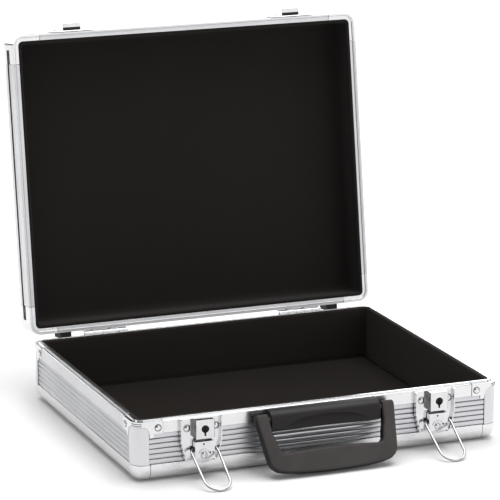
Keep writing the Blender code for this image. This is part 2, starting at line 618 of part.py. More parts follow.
for hand, sx in HANDS.items():
    cx = sx * LATCH_X
    left, right = cx + LATCH_LEFT, cx + LATCH_RIGHT
    plate_edge = [
        (left, LATCH_TOP),
        (left, LATCH_BEND),
        (left + LATCH_TAPER, LATCH_BOTTOM),
        (right - LATCH_TAPER, LATCH_BOTTOM),
        (right, LATCH_BEND),
        (right, LATCH_TOP),
    ]
    back_y = FRONT - GAP
    plate = prism("latch_plate_" + hand, [(x, back_y, z) for x, z in plate_edge], (0, GAP - PLATE_FACE, 0))
    joins = []
    for edge, way in ((left, 1), (right, -1)):
        flange = [
            (edge, LATCH_TOP),
            (edge, LATCH_BEND),
            (edge + way * LATCH_TAPER, LATCH_BOTTOM),
            (edge + way * (LATCH_TAPER + MM), LATCH_BOTTOM),
            (edge + way * MM, LATCH_BEND),
            (edge + way * MM, LATCH_TOP),
        ]
        joins.append(prism("flange", [(x, back_y, z) for x, z in flange], (0, GAP - FLANGE_REACH, 0)))
    lock = box(
        "lock",
        (cx - LOCK_HALF_WIDTH, FRONT - LOCK_FACE, LOCK_BOTTOM),
        (cx + LOCK_HALF_WIDTH, FRONT - PLATE_FACE + OVERLAP, LOCK_TOP),
    )
    soften(lock, 0.5 * MM, 2)
    joins.append(lock)
    for sign in (-1, 1):
        lug_xs = sorted(cx + sign * value * MM for value in (6.2, 7.2))
        joins.append(box(
            "lug",
            (lug_xs[0], FRONT - LUG_REACH, LUG_BOTTOM),
            (lug_xs[1], FRONT - PLATE_FACE + OVERLAP, LUG_TOP),
        ))
        spot = (cx - 0.9 * MM + sign * 13 * MM, FRONT - PLATE_FACE, RIVET_Z)
        joins.append(dome("head", spot, (0, -1, 0), 2.9 * MM, 1.4 * MM))
    combine(plate, joins, "UNION")
    lever_y = FRONT - LEVER_AXIS_OUT
    cuts = [
        rod("bore", (cx, FRONT - 3.3 * MM, KEYHOLE_Z), (cx, FRONT - 10 * MM, KEYHOLE_Z), KEYHOLE_RADIUS),
        box(
            "slot",
            (cx - 0.9 * MM, FRONT - 10 * MM, KEYHOLE_Z - 6 * MM),
            (cx + 0.9 * MM, FRONT - 5.6 * MM, KEYHOLE_Z),
        ),
        rod(
            "pivot",
            (cx - 7.4 * MM, lever_y, LEVER_AXIS_Z),
            (cx + 7.4 * MM, lever_y, LEVER_AXIS_Z),
            LEVER_PIN_RADIUS + 0.25 * MM,
            16,
        ),
    ]
    combine(plate, cuts, "DIFFERENCE")
    paint(plate, CHROME)

    barrel_axis = axis_empty("lock_axis_" + hand, (cx, FRONT - 5.5 * MM, KEYHOLE_Z), 0)
    barrel = rod(
        "lock_barrel_" + hand,
        (cx, FRONT - 3.6 * MM, KEYHOLE_Z),
        (cx, FRONT - 7.3 * MM, KEYHOLE_Z),
        BARREL_RADIUS,
    )
    keyway = box(
        "keyway",
        (cx - 0.6 * MM, FRONT - 8 * MM, KEYHOLE_Z - 4 * MM),
        (cx + 0.6 * MM, FRONT - 5.8 * MM, KEYHOLE_Z + 1.2 * MM),
    )
    combine(barrel, [keyway], "DIFFERENCE")
    paint(barrel, DARK_STEEL)
    hang(barrel, barrel_axis)

    lever_axis = axis_empty("lever_axis_" + hand, (cx, lever_y, LEVER_AXIS_Z), 0)
    lever = box(
        "latch_lever_" + hand,
        (cx - LEVER_HALF_WIDTH, FRONT - LEVER_FACE, LEVER_BOTTOM),
        (cx + LEVER_HALF_WIDTH, FRONT - LEVER_BACK, LEVER_TOP),
    )
    joins = [
        box(
            "lip",
            (cx - LEVER_HALF_WIDTH, FRONT - LEVER_FACE - 2 * MM, LEVER_BOTTOM - 0.6 * MM),
            (cx + LEVER_HALF_WIDTH, FRONT - LEVER_BACK, LEVER_BOTTOM + 0.4 * MM),
        ),
        rod(
            "pin",
            (cx - 8 * MM, lever_y, LEVER_AXIS_Z),
            (cx + 8 * MM, lever_y, LEVER_AXIS_Z),
            LEVER_PIN_RADIUS,
            16,
        ),
        dome("head", (cx - 0.9 * MM, FRONT - LEVER_FACE, 21.2 * MM), (0, -1, 0), 2.6 * MM, 1.1 * MM),
    ]
    for sign in (-1, 1):
        ear_xs = sorted(cx + sign * value for value in (LEVER_HALF_WIDTH - EAR_THICKNESS, LEVER_HALF_WIDTH))
        joins.append(box(
            "ear",
            (ear_xs[0], FRONT - LEVER_BACK - OVERLAP, 20.5 * MM),
            (ear_xs[1], FRONT - 2.3 * MM, LEVER_TOP),
        ))
    combine(lever, joins, "UNION")
    bail_y = FRONT - BAIL_AXIS_OUT
    holes = []
    for sign in (-1, 1):
        hole_xs = sorted(cx + sign * value * MM for value in (7, 9.5))
        hole_start = (hole_xs[0], bail_y, BAIL_AXIS_Z)
        hole_end = (hole_xs[1], bail_y, BAIL_AXIS_Z)
        holes.append(rod("hole", hole_start, hole_end, BAIL_RADIUS + GAP, 20))
    combine(lever, holes, "DIFFERENCE")
    paint(lever, CHROME)
    hang(lever, lever_axis)

    bail_axis = axis_empty("bail_axis_" + hand, (cx, bail_y, BAIL_AXIS_Z), -BAIL_LEAN)
    turn = BAIL_LENGTH - BAIL_HALF_WIDTH
    side_path = [(7.4 * MM, 0), (9.9 * MM, 0), (11.3 * MM, -0.4 * MM), (BAIL_PIVOT_X, -1.7 * MM)]
    side_path += [(11.8 * MM, -12 * MM), (11.6 * MM, -24 * MM)]
    bend = [(x, -turn + z) for x, z in arc((0, 0), BAIL_HALF_WIDTH, 0, -180, 14)]
    path = side_path + bend + [(-x, z) for x, z in reversed(side_path)]
    wire = bpy.data.curves.new("bail", "CURVE")
    wire.dimensions = "3D"
    wire.bevel_depth = BAIL_RADIUS
    wire.bevel_resolution = 2
    wire.use_fill_caps = True
    spline = wire.splines.new("POLY")
    spline.points.add(len(path) - 1)
    for point, (x, z) in zip(spline.points, path):
        point.co = (x, 0, z, 1)
    wire_object = bpy.data.objects.new("bail_wire", wire)
    bpy.context.scene.collection.objects.link(wire_object)
    graph = bpy.context.evaluated_depsgraph_get()
    mesh = bpy.data.meshes.new_from_object(wire_object.evaluated_get(graph))
    bpy.data.objects.remove(wire_object, do_unlink=True)
    bail = bpy.data.objects.new("latch_bail_" + hand, mesh)
    bpy.context.scene.collection.objects.link(bail)
    mesh.shade_smooth()
    mesh.set_sharp_from_angle(angle=math.radians(60))
    paint(bail, CHROME)
    bail.parent = bail_axis
    bail_axis.parent = lever_axis
    bail_axis.location = Vector((0, bail_y - lever_y, BAIL_AXIS_Z - LEVER_AXIS_Z))
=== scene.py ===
import math

import bmesh
import bpy
from mathutils import Matrix, Vector, noise


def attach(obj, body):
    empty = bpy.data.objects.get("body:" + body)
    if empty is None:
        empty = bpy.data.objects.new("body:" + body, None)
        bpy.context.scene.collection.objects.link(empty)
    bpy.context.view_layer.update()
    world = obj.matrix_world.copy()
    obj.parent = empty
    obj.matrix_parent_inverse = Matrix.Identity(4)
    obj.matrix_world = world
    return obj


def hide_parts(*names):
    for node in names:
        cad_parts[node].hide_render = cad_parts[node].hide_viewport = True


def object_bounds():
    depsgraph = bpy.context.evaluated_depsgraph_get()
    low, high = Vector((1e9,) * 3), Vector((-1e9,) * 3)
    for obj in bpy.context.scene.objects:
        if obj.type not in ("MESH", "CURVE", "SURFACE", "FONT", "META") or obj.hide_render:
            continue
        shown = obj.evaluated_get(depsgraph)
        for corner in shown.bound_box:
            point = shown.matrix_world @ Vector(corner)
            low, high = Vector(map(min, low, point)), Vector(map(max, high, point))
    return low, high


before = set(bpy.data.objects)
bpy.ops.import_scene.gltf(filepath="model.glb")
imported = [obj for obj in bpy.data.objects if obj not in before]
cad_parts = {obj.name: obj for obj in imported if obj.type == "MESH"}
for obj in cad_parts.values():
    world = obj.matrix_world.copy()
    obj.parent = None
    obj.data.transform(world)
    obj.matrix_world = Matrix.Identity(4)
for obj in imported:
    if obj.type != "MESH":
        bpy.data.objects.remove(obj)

cad_low, cad_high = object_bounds()

MM = 0.001

# The case, in metres, as the CAD has it
FRONT = -0.138
BACK = 0.138
HALF_WIDTH = 0.170
CORNER_RADIUS = 0.010
LATCH_X = 0.109
HINGE_AXIS = Vector((0, 0.1415, 0.05345))
LID_OPEN = math.radians(98.6)
HANDLE_LEAN = math.radians(30)
RIB_START = 0.0152
RIB_PITCH = 0.0045

# The latches, in mm: distances out from the front panel, heights, and the wire loop
LATCH_FACE = 1.35
LEVER_FACE = 7.3
KEYHOLE_Z = 44
BAIL_PIVOT_OUT = 4.6
BAIL_AXIS_Z = 25.3
BAIL_LENGTH = 47
BAIL_HALF_WIDTH = 11.3
BAIL_WIRE = 1.15
BAIL_LEAN = math.radians(59.4)

HANDS = {"left": -1, "right": 1}
SIDES = ("front", "back", "left", "right")
CORNERS = ("front_left", "front_right", "back_left", "back_right")

TO_PIVOT = Matrix.Translation(HINGE_AXIS)
TO_LID = TO_PIVOT @ Matrix.Rotation(-LID_OPEN, 4, "X") @ TO_PIVOT.inverted()


# Materials ---------------------------------------------------------------------------------------

class Nodes:
    """Small helper that adds and links shader nodes."""

    def __init__(self, name):
        self.mat = bpy.data.materials.new(name)
        self.mat.use_nodes = True
        self.tree = self.mat.node_tree
        self.shader = self.tree.nodes["Principled BSDF"]
        self.coords = self.add("ShaderNodeTexCoord").outputs["Object"]

    def add(self, kind, **props):
        node = self.tree.nodes.new(kind)
        for key, value in props.items():
            setattr(node, key, value)
        return node

    def link(self, out, socket):
        self.tree.links.new(out, socket)

    def drive(self, name, out):
        """Link an output to a named input of the material's shader."""
        self.link(out, self.shader.inputs[name])

    def stretched(self, scale, turn=(0, 0, 0)):
        """Object coordinates turned and then scaled, so that a pattern runs along one axis."""
        mapping = self.add("ShaderNodeMapping", vector_type="TEXTURE")
        mapping.inputs["Rotation"].default_value = turn
        mapping.inputs["Scale"].default_value = [1 / s for s in scale]
        self.link(self.coords, mapping.inputs["Vector"])
        return mapping.outputs["Vector"]

    def noise(self, vector, scale=1.0, detail=3.0, rough=0.55, distortion=0.0):
        node = self.add("ShaderNodeTexNoise")
        node.inputs["Scale"].default_value = scale
        node.inputs["Detail"].default_value = detail
        node.inputs["Roughness"].default_value = rough
        node.inputs["Distortion"].default_value = distortion
        self.link(vector, node.inputs["Vector"])
        return node.outputs["Fac"]

    def remap(self, value, low, high, to_low=0.0, to_high=1.0):
        node = self.add("ShaderNodeMapRange")
        sockets = ("From Min", "From Max", "To Min", "To Max")
        for socket, number in zip(sockets, (low, high, to_low, to_high)):
            node.inputs[socket].default_value = number
        self.link(value, node.inputs["Value"])
        return node.outputs["Result"]

    def math(self, operation, a, b=0.0):
        node = self.add("ShaderNodeMath", operation=operation)
        for socket, value in zip(node.inputs, (a, b)):
            if isinstance(value, (int, float)):
                socket.default_value = value
            else:
                self.link(value, socket)
        return node.outputs[0]

    def mix(self, factor, a, b):
        node = self.add("ShaderNodeMix", data_type="RGBA")
        self.link(factor, node.inputs["Factor"])
        for socket, colour in ((node.inputs[6], a), (node.inputs[7], b)):
            if isinstance(colour, tuple):
                socket.default_value = (*colour, 1.0)
            else:
                self.link(colour, socket)
        return node.outputs[2]

    def bump(self, height, strength, distance, normal=None):
        node = self.add("ShaderNodeBump")
        node.inputs["Strength"].default_value = strength
        node.inputs["Distance"].default_value = distance
        self.link(height, node.inputs["Height"])
        if normal is not None:
            self.link(normal, node.inputs["Normal"])
        return node.outputs["Normal"]

    def scratches(self, scale, turn, full):
        """Mask of thin handling scratches that run one way."""
        return self.remap(self.noise(self.stretched(scale, turn), 1.0, 1.0, 0.4), 0.70, full)

    def edge_wear(self, radius):
        """Mask that is 1 on worn convex edges and 0 on flat faces."""
        bevel = self.add("ShaderNodeBevel", samples=4)
        bevel.inputs["Radius"].default_value = radius
        geometry = self.add("ShaderNodeNewGeometry")
        dot = self.add("ShaderNodeVectorMath", operation="DOT_PRODUCT")
        self.link(bevel.outputs["Normal"], dot.inputs[0])
        self.link(geometry.outputs["Normal"], dot.inputs[1])
        return self.remap(dot.outputs["Value"], 0.99, 0.80)

    def from_rib_middle(self):
        """Distance up or down from the middle of a base panel's rib: 0 there, 0.5 in a groove."""
        place = self.add("ShaderNodeSeparateXYZ")
        self.link(self.coords, place.inputs[0])
        above = self.math("SUBTRACT", place.outputs["Z"], RIB_START)
        phase = self.math("FRACT", self.math("DIVIDE", above, RIB_PITCH))
        return self.math("ABSOLUTE", self.math("SUBTRACT", phase, 0.5))

    def faces(self, direction):
        """How squarely a face looks along a direction, either way."""
        dot = self.add("ShaderNodeVectorMath", operation="DOT_PRODUCT")
        self.link(self.add("ShaderNodeTexCoord").outputs["Normal"], dot.inputs[0])
        dot.inputs[1].default_value = direction
        return self.math("ABSOLUTE", dot.outputs["Value"])


def shade(colour, factor):
    return tuple(min(1.0, c * factor) for c in colour)


def brushed_metal(name, colour, roughness, grain, turn=(0, 0, 0), grain_depth=0.12, ribbed=0.0):
    """Drawn or brushed metal: grain along one axis, faint scratches, dull patches, worn edges.

    ribbed is how much painted shade darkens a base panel's grooves. Its ribs are also given
    rounded crowns.
    """
    crown_height = 1.5 * MM
    n = Nodes(name)
    fine = n.noise(n.stretched(grain, turn), 1.0, 4.0, 0.6)
    patches = n.noise(n.coords, 28.0, 3.0, 0.5)
    one_way = n.scratches((26, 900, 700), (0.35, 0.5, 0.8), 0.76)
    other_way = n.scratches((800, 22, 600), (0.9, 0.2, -0.5), 0.76)
    lines = n.math("MULTIPLY", n.math("MAXIMUM", one_way, other_way), 0.5)
    edges = n.math("MULTIPLY", n.edge_wear(0.7 * MM), 0.35)

    base = n.mix(n.remap(fine, 0.3, 0.7), shade(colour, 0.93), shade(colour, 1.04))
    base = n.mix(n.remap(patches, 0.35, 0.7, 0.0, 0.35), base, shade(colour, 0.90))
    base = n.mix(edges, base, shade(colour, 1.16))
    crown = None
    if ribbed:
        from_middle = n.from_rib_middle()
        # Painted shade: the grooves between the ribs are darkened.
        base = n.mix(n.remap(from_middle, 0.42, 0.48, 0.0, ribbed), base, shade(colour, 0.16))
        squared = n.math("MULTIPLY", from_middle, from_middle)
        crown = n.bump(n.math("SUBTRACT", 1.0, squared), 1.0, crown_height)
    n.drive("Base Color", base)

    rough = n.remap(fine, 0.3, 0.7, roughness - 0.05, roughness + 0.06)
    rough = n.math("ADD", rough, n.remap(patches, 0.3, 0.7, -0.02, 0.04))
    n.drive("Roughness", n.math("ADD", rough, n.math("MULTIPLY", lines, 0.12)))
    height = n.math("SUBTRACT", fine, n.math("MULTIPLY", lines, 0.5))
    n.drive("Normal", n.bump(height, grain_depth, 0.05 * MM, crown))
    n.shader.inputs["Metallic"].default_value = 1.0
    return n.mat


def chrome_metal(name, colour, roughness):
    """Plate over pressed steel: glossy, with a soft orange peel, smudges and worn edges."""
    n = Nodes(name)
    peel = n.noise(n.coords, 700.0, 2.0, 0.5)
    smudge = n.noise(n.coords, 120.0, 4.0, 0.6)
    lines = n.scratches((60, 1800, 1500), (0.2, 0.7, 0.5), 0.77)
    edges = n.math("MULTIPLY", n.edge_wear(0.35 * MM), 0.5)

    base = n.mix(n.remap(smudge, 0.35, 0.75, 0.0, 0.8), colour, shade(colour, 0.86))
    n.drive("Base Color", n.mix(edges, base, shade(colour, 1.12)))
    rough = n.remap(smudge, 0.3, 0.75, roughness - 0.03, roughness + 0.10)
    n.drive("Roughness", n.math("ADD", rough, n.math("MULTIPLY", lines, 0.08)))
    n.drive("Normal", n.bump(peel, 0.05, 0.08 * MM))
    n.shader.inputs["Metallic"].default_value = 1.0
    return n.mat


def foam_lining(name, colour, sheen=0.08, shine=0.25):
    """Black foam with a short flock: fine open grain, soft sheen, pressed and dusty patches."""
    lint_colour = (0.05, 0.047, 0.045)
    n = Nodes(name)
    grain = n.noise(n.coords, 2600.0, 3.0, 0.7)
    pores = n.noise(n.coords, 900.0, 2.0, 0.5)
    patches = n.noise(n.coords, 16.0, 4.0, 0.6, 0.8)
    lint = n.remap(n.noise(n.coords, 420.0, 1.0, 0.3), 0.77, 0.80, 0.0, 0.22)

    base = n.mix(n.remap(grain, 0.3, 0.7), shade(colour, 0.62), shade(colour, 1.32))
    base = n.mix(n.remap(patches, 0.35, 0.7, 0.0, 0.7), base, shade(colour, 1.30))
    n.drive("Base Color", n.mix(lint, base, lint_colour))
    n.drive("Roughness", n.remap(patches, 0.3, 0.7, 0.84, 0.97))
    coarse = n.bump(pores, 0.35, 0.25 * MM)
    n.drive("Normal", n.bump(grain, 0.6, 0.12 * MM, coarse))
    n.shader.inputs["Sheen Weight"].default_value = sheen
    n.shader.inputs["Sheen Roughness"].default_value = 0.45
    n.shader.inputs["Specular IOR Level"].default_value = shine
    return n.mat


def moulded_plastic(name, colour, roughness, grain_scale, grain_depth, shine=0.5, face=None):
    """Moulded plastic with a spark-eroded grain, polished where hands rub it.

    face is the direction that the part's broad face looks. Its other faces are darkened: painted
    shade.
    """
    n = Nodes(name)
    voronoi = n.add("ShaderNodeTexVoronoi", feature="SMOOTH_F1")
    voronoi.inputs["Scale"].default_value = grain_scale
    voronoi.inputs["Smoothness"].default_value = 0.6
    n.link(n.coords, voronoi.inputs["Vector"])
    finer = n.noise(n.coords, grain_scale * 2.3, 2.0, 0.6)
    grain = n.math("ADD", voronoi.outputs["Distance"], finer)
    rub = n.noise(n.coords, 45.0, 3.0, 0.55)
    edges = n.edge_wear(1.0 * MM)

    base = n.mix(n.remap(rub, 0.35, 0.7), shade(colour, 0.88), shade(colour, 1.14))
    base = n.mix(n.math("MULTIPLY", edges, 0.35), base, shade(colour, 1.7))
    # Painted shade on the faces that turn away from the broad face.
    if face is not None:
        base = n.mix(n.remap(n.faces(face), 0.55, 0.92), shade(colour, 0.16), base)
    n.drive("Base Color", base)
    rough = n.remap(rub, 0.3, 0.7, roughness - 0.05, roughness + 0.07)
    n.drive("Roughness", n.math("SUBTRACT", rough, n.math("MULTIPLY", edges, 0.08)))
    n.drive("Normal", n.bump(grain, grain_depth, 0.15 * MM))
    n.shader.inputs["Specular IOR Level"].default_value = shine
    return n.mat


GRAIN_X = (12, 2600, 2600)
GRAIN_Y = (2600, 12, 2600)
GRAIN_Z = (2600, 2600, 12)
PRESSED_GRAIN = (160, 160, 160)
TURNED_GRAIN = (900, 900, 900)
LID_TURN = (-LID_OPEN, 0, 0)
SATIN = (0.66, 0.66, 0.675)
BRIGHT = (0.78, 0.78, 0.79)
RIBBED = (0.62, 0.62, 0.645)
# Darker copies of the ribbed and satin tones for the left and right sides: painted shade.
SHADED_RIBBED = shade(RIBBED, 0.84)
SHADED_SATIN = shade(SATIN, 0.94)

ALU = {
    "edge_x": brushed_metal("satin_aluminium_x", BRIGHT, 0.24, GRAIN_X),
    "edge_y": brushed_metal("satin_aluminium_y", BRIGHT, 0.22, GRAIN_Y),
    "edge_z": brushed_metal("satin_aluminium_z", SATIN, 0.20, GRAIN_Z),
    "rib_x": brushed_metal("ribbed_aluminium_x", RIBBED, 0.30, GRAIN_X,
                           grain_depth=0.2, ribbed=0.85),
    "rib_y": brushed_metal("ribbed_aluminium_y_painted_shade", SHADED_RIBBED, 0.34, GRAIN_Y,
                           grain_depth=0.2, ribbed=0.12),
    "rim_x": brushed_metal("bright_aluminium_x", BRIGHT, 0.24, GRAIN_X, grain_depth=0.08),
    "rim_y": brushed_metal("bright_aluminium_y_painted_shade", SHADED_SATIN, 0.26, GRAIN_Y, grain_depth=0.08),
    "corner": brushed_metal("pressed_aluminium", BRIGHT, 0.16, PRESSED_GRAIN, grain_depth=0.05),
    "lid_x": brushed_metal("lid_aluminium_x", SATIN, 0.27, GRAIN_X),
    "lid_y": brushed_metal("lid_aluminium_y", SATIN, 0.27, GRAIN_Y, LID_TURN),
}
CHROME = chrome_metal("nickel_plate", (0.72, 0.72, 0.73), 0.08)
WIRE = chrome_metal("bright_wire", (0.52, 0.52, 0.53), 0.09)
STEEL = brushed_metal("turned_steel", (0.55, 0.55, 0.56), 0.25, TURNED_GRAIN)
DARK_STEEL = chrome_metal("black_oxide", (0.030, 0.029, 0.028), 0.40)
# Dark plate for the springs, and painted shade and reflection on the lock box's sides.
CHEEK = chrome_metal("dark_plate_and_side_shade", (0.12, 0.12, 0.12), 0.22)
# Near-black for the insides of holes, slots and gaps and under the strike's hook: painted shade.
SHADE_BLACK = moulded_plastic("black_painted_recess_shade", (0.004, 0.004, 0.004), 0.6, 2000.0, 0.1)
FLOOR_LINING = foam_lining("black_lining", (0.0120, 0.0097, 0.0083), 0.02, 0.10)
# The walls' copy of the lining is lighter than the floor's and the lid's: painted light.
LIT_WALL_LINING = foam_lining("black_wall_lining_painted_light", (0.0205, 0.0165, 0.0142))
LID_LINING = foam_lining("black_lid_lining", (0.0122, 0.0100, 0.0090))
HANDLE_FACE = (0, -math.cos(HANDLE_LEAN), math.sin(HANDLE_LEAN))
GRIP = moulded_plastic("grained_plastic", (0.054, 0.0470, 0.0472), 0.52, 1500.0, 0.35,
                       0.3, HANDLE_FACE)
HUB = moulded_plastic("satin_plastic", (0.013, 0.011, 0.0105), 0.46, 2200.0, 0.18, 0.28)
RUBBER = moulded_plastic("rubber", (0.014, 0.014, 0.014), 0.72, 1800.0, 0.4)

# Finishes of the new pieces: a material and the record's slot
# The first finish is painted shade in holes, slots and gaps.
RECESS_SHADE = (SHADE_BLACK, "dark_steel")
DARK_LINE = (DARK_STEEL, "dark_steel")
DARK_PLATE_AND_SIDE_SHADE = (CHEEK, "dark_steel")
BARE_STEEL = (STEEL, "steel")
LOOP_WIRE = (WIRE, "chrome")


# Finishes on the kept CAD nodes ------------------------------------------------------------------

def tidy_edges(obj, width):
    """Modifiers that weld a faceted solid and round its edges."""
    weld = obj.modifiers.new("weld", "WELD")
    weld.merge_threshold = 0.004 * MM
    flat = obj.modifiers.new("flat", "DECIMATE")
    flat.decimate_type = "DISSOLVE"
    flat.angle_limit = math.radians(0.5)
    bevel = obj.modifiers.new("bevel", "BEVEL")
    bevel.width = width
    bevel.segments = 2
    bevel.limit_method = "ANGLE"
    bevel.angle_limit = math.radians(30)
    bevel.use_clamp_overlap = True
    obj.modifiers.new("normals", "WEIGHTED_NORMAL").keep_sharp = False
    obj.data.shade_smooth()


def dress(node, mat, edge=0.0):
    """Give a kept CAD node its finish and, with an edge radius in mm, soft edges."""
    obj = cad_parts[node]
    obj.data.materials.clear()
    obj.data.materials.append(mat)
    if edge:
        tidy_edges(obj, edge * MM)


for side in SIDES:
    axis = "x" if side in ("front", "back") else "y"
    dress("base_edge_" + side, ALU["edge_" + axis], 0.15)
    dress("base_panel_" + side, ALU["rib_" + axis], 0.08)
    dress("base_rim_" + side, ALU["rim_" + axis], 0.2)
    dress("lid_side_" + side, ALU["lid_" + axis], 0.15)
for corner in CORNERS:
    dress("base_cap_" + corner, ALU["corner"], 0.25)
    dress("base_post_" + corner, ALU["edge_z"], 0.2)
    dress("base_bracket_" + corner, ALU["corner"], 0.15)
    dress("lid_corner_" + corner, ALU["corner"], 0.15)
dress("bottom_panel", ALU["edge_x"], 0.2)
dress("lid_panel", ALU["lid_x"], 0.2)
for hand in HANDS:
    for node in ("latch_plate_", "latch_lever_", "strike_", "hinge_base_leaf_", "hinge_lid_leaf_"):
        dress(node + hand, CHROME, 0.12)
    dress("hinge_pin_" + hand, STEEL, 0.1)
    dress("lock_barrel_" + hand, DARK_STEEL, 0.1)
    for node in ("base_foot_", "lid_foot_"):
        dress(node + hand, RUBBER)
dress("handle_hub", HUB, 0.3)
dress("handle_grip", GRIP)


# Helpers for new pieces --------------------------------------------------------------------------

def on_arc(x, y, radius, degrees):
    """Point of a circle, as a pair."""
    turn = math.radians(degrees)
    return x + radius * math.cos(turn), y + radius * math.sin(turn)


def finish_piece(obj, finish, body):
    """Give a new piece its material and the body it rides on."""
    mat, slot = finish
    obj.data.materials.clear()
    obj.data.materials.append(mat)
    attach(obj, body)
    return obj


def mesh_piece(name, bm, matrix=None):
    """Named object with smooth faces from a bmesh."""
    bmesh.ops.recalc_face_normals(bm, faces=bm.faces)
    if matrix is not None:
        bmesh.ops.transform(bm, matrix=matrix, verts=bm.verts)
    mesh = bpy.data.meshes.new(name)
    bm.to_mesh(mesh)
    bm.free()
    mesh.shade_smooth()
    obj = bpy.data.objects.new(name, mesh)
    bpy.context.scene.collection.objects.link(obj)
    return obj


def tube(name, points, radius, finish, body):
    """Smooth round wire through points."""
    curve = bpy.data.curves.new(name, "CURVE")
    curve.dimensions = "3D"
    curve.bevel_depth = radius * MM
    curve.bevel_resolution = 5
    curve.use_fill_caps = True
    spline = curve.splines.new("POLY")
    spline.points.add(len(points) - 1)
    for target, point in zip(spline.points, points):
        target.co = (*point, 1)
    spline.use_smooth = True
    obj = bpy.data.objects.new(name, curve)
    bpy.context.scene.collection.objects.link(obj)
    return finish_piece(obj, finish, body)


def box_piece(name, low, high, finish, body, matrix=None):
    """Small block between two corners with soft edges."""
    bm = bmesh.new()
    bmesh.ops.create_cube(bm, size=1)
    place = Matrix.Translation((Vector(low) + Vector(high)) / 2)
    span = Vector(high) - Vector(low)
    bmesh.ops.transform(bm, matrix=place @ Matrix.Diagonal((*span, 1)), verts=bm.verts)
    bmesh.ops.bevel(bm, geom=bm.edges[:], offset=0.05 * MM, segments=1, affect="EDGES")
    obj = mesh_piece(name, bm, matrix)
    obj.data.shade_flat()
    return finish_piece(obj, finish, body)


def disc_piece(name, centre, radius, finish, body):
    """Thin disc on a face that looks forward."""
    bm = bmesh.new()
    place = Matrix.Translation(centre) @ Matrix.Rotation(math.radians(90), 4, "X")
    bmesh.ops.create_cone(bm, cap_ends=True, segments=28, radius1=radius * MM,
                          radius2=radius * MM, depth=0.1 * MM, matrix=place)
    obj = mesh_piece(name, bm)
    obj.data.set_sharp_from_angle(angle=math.radians(40))
    return finish_piece(obj, finish, body)


def ring_points(centre, radius, start=0, end=360, count=36):
    """Circle or arc in an upright plane that looks forward."""
    x, y, z = centre
    turns = [start + (end - start) * index / count for index in range(count + 1)]
    flat = [on_arc(x, z, radius * MM, turn) for turn in turns]
    return [(across, y, up) for across, up in flat]


# Linings -----------------------------------------------------------------------------------------

def loop_points(inset, z, radius, wave):
    """Rounded rectangle at an inset from the case's outline, moved up and down by noise."""
    arc_steps, edge_steps = 8, 14
    quadrants = ((1, 1), (-1, 1), (-1, -1), (1, -1))
    span_x, span_y = HALF_WIDTH - inset - radius, BACK - inset - radius
    centres = [(sx * span_x, sy * span_y) for sx, sy in quadrants]
    points = []
    for index, centre in enumerate(centres):
        for step in range(arc_steps + 1):
            degrees = 90 * index + 90 * step / arc_steps
            points.append(Vector((*on_arc(*centre, radius, degrees), z)))
        start = points[-1]
        end = Vector((*on_arc(*centres[(index + 1) % 4], radius, 90 * index + 90), z))
        points += [start.lerp(end, step / edge_steps) for step in range(1, edge_steps)]
    if wave:
        points = [p + Vector((0, 0, wave * noise.noise(p * 22))) for p in points]
    return points


def lofted(name, rings, matrix, closed):
    """Skin over rounded-rectangle rings: closed into a tube, or capped at both ends."""
    bm = bmesh.new()
    loops = []
    for ring in rings:
        loops.append([bm.verts.new(p) for p in loop_points(*(size * MM for size in ring))])
    pairs = list(zip(loops, loops[1:]))
    if closed:
        pairs.append((loops[-1], loops[0]))
    else:
        bm.faces.new(loops[0])
        bm.faces.new(loops[-1])
    for low, high in pairs:
        for index in range(len(low)):
            after = (index + 1) % len(low)
            bm.faces.new((low[index], low[after], high[after], high[index]))
    return mesh_piece(name, bm, matrix)


# Each ring is (inset from the case's outline, height, corner radius, unevenness), in mm.
WALL_RINGS = [
    (5.95, 4.1, 4, 0), (5.75, 20, 4, 0), (5.65, 52.6, 4, 0), (5.75, 53.5, 4, 0),
    (6.2, 54.1, 4, 0), (7.0, 54.3, 3.5, 0), (7.8, 54.0, 3.2, 0), (8.3, 53.4, 3, 0),
    (8.5, 52.3, 3, 0), (8.7, 40, 3, 0), (8.8, 25, 3, 0), (8.6, 10, 3, 0), (8.4, 4.1, 3, 0),
]
LID_RINGS = [
    (20, 85.2, 4, 0), (6.4, 85.2, 4, 0), (5.95, 84.8, 4, 0), (5.7, 66, 4, 0),
    (5.65, 56.0, 4, 0), (5.8, 55.1, 4, 0), (6.4, 54.6, 4, 0), (7.3, 54.5, 3.6, 0),
    (8.1, 54.9, 3.4, 0), (8.5, 55.9, 3.4, 0), (8.7, 62, 3.5, 0), (8.9, 76, 4.5, 0),
    (9.3, 79, 5.5, 0), (10.4, 81.2, 6.5, 0), (12.4, 82.3, 7.5, 0), (16, 82.6, 9, 0),
]
LID_RINGS += [(inset, 82.6, 9, 0.3) for inset in (24, 36, 50, 66, 84, 102, 118)]


def floor_rings():
    """Rings of the floor mat, with rounded upper edges and a slightly crowned, uneven face."""
    edge, low, high, radius = 12.2, 4.0, 6.7, 4
    crown, wave, middle = 0.2, 0.25, 112
    profile = [(0.3, low), (0, low + 0.5), (0, high - 1.4), (0.25, high - 0.65),
               (0.75, high - 0.2), (1.5, high)]
    rings = [(edge + inset, z, radius, 0) for inset, z in profile]
    for inset in (5, 12, 22, 34, 48, 64, 82, 100, middle):
        rise = crown * (1 - (1 - inset / middle) ** 2)
        rings.append((edge + inset, high + rise, radius, wave))
    return rings


def lining_piece(name, rings, mat, body, stands_for, matrix=Matrix(), closed=False):
    """Padded lining that replaces a plain CAD solid."""
    obj = finish_piece(lofted(name, rings, matrix, closed), (mat, "lining"), body)
    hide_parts(stands_for)


lining_piece("base_wall_lining", WALL_RINGS, LIT_WALL_LINING, "base", "wall_lining", closed=True)
lining_piece("base_floor_mat", floor_rings(), FLOOR_LINING, "base", "floor_mat")
lining_piece("lid_tray_lining", LID_RINGS, LID_LINING, "lid", "lid_lining", TO_LID)


